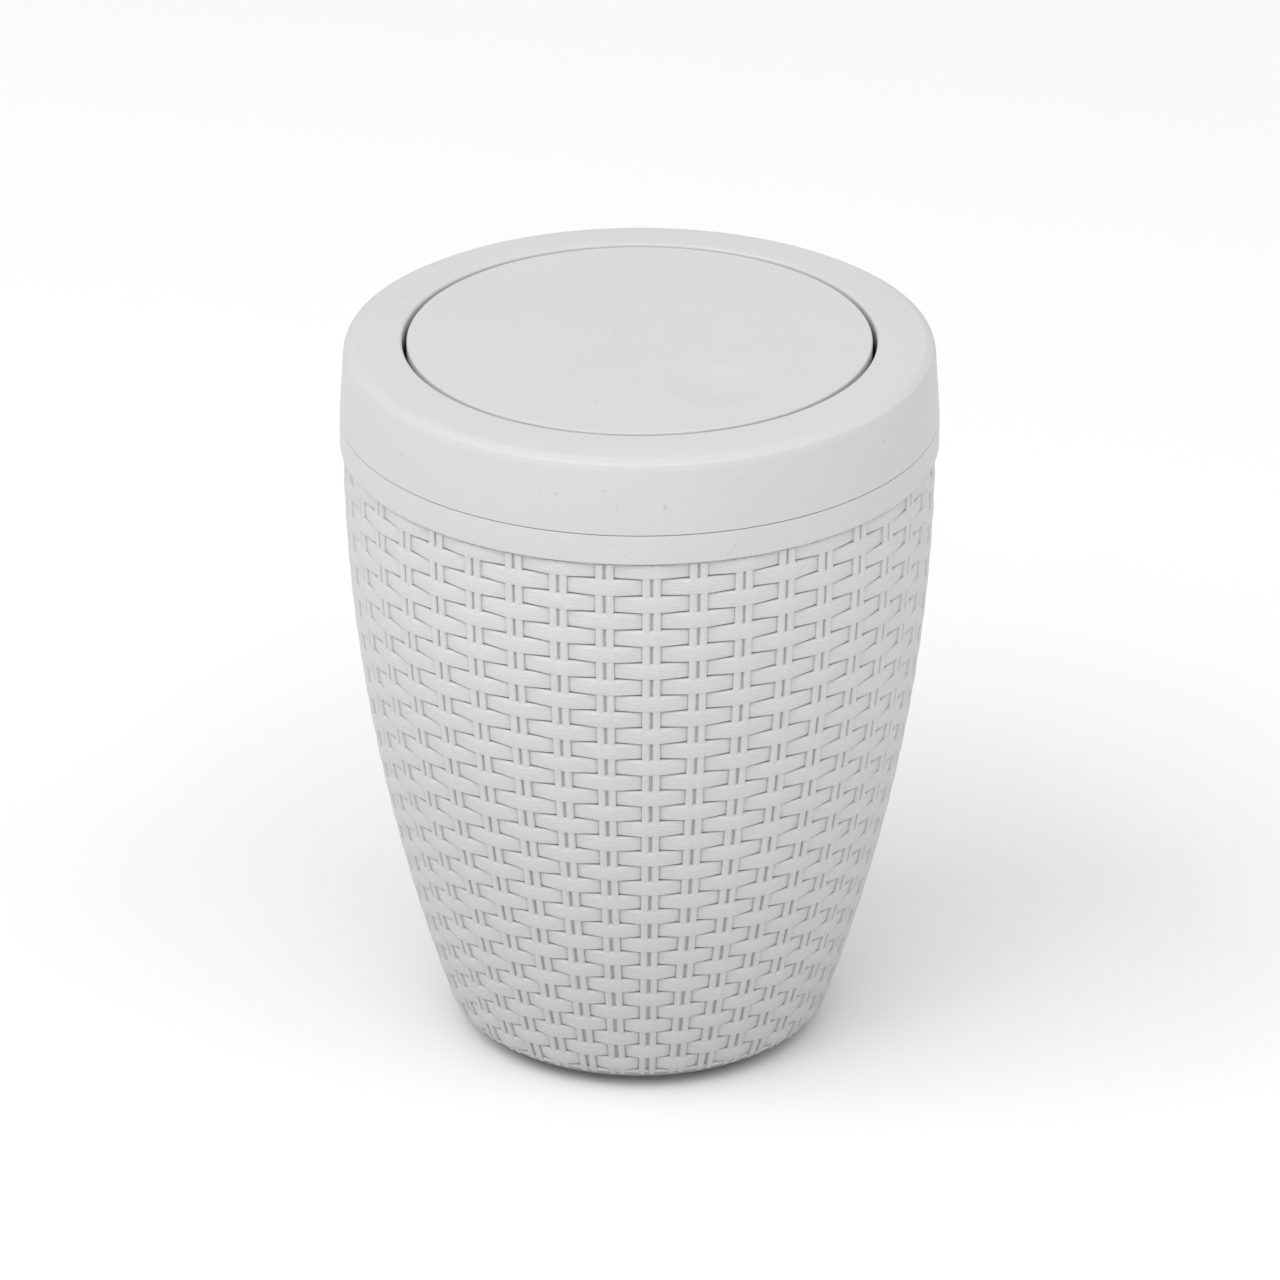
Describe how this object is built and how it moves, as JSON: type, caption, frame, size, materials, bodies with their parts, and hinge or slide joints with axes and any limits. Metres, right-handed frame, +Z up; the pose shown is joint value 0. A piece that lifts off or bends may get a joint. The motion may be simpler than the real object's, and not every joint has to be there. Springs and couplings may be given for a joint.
{
  "type": "swing-lid wastebasket",
  "caption": "Round tapering wastebasket with a basket-weave moulded wall, a smooth rim band, a lift-off lid ring and a round flap that swings on two pins.",
  "frame": {"origin": "centre of the circle that the foot ring stands on, on the floor", "axes": "+Z up along the basket's round axis; +X along the flap's hinge axis; -Y towards the flap's press mark, taken as the front"},
  "size_m": [0.22, 0.22, 0.2755],
  "materials": {
    "tub_plastic": "matte off-white moulded plastic with a basket-weave relief",
    "lid_plastic": "satin off-white moulded plastic with a very fine texture",
    "pin_plastic": "smooth white moulded plastic",
    "bar_steel": "zinc-plated flat bar"
  },
  "bodies": {
    "tub": {"tub": "tub_plastic"},
    "lid": {"lid_ring": "lid_plastic"},
    "flap": {"flap": "lid_plastic", "hinge_pin_left": "pin_plastic", "hinge_pin_right": "pin_plastic", "counterweight": "bar_steel"}
  },
  "joints": [
    {"name": "lid_lift", "type": "slide", "parent": "tub", "child": "lid", "axis": [0, 0, 1], "range_m": [0, 0.12]},
    {"name": "flap_swing", "type": "hinge", "parent": "lid", "child": "flap", "pos_m": [0, 0, 0.2689], "axis": [1, 0, 0], "range_deg": [-85, 85]}
  ]
}
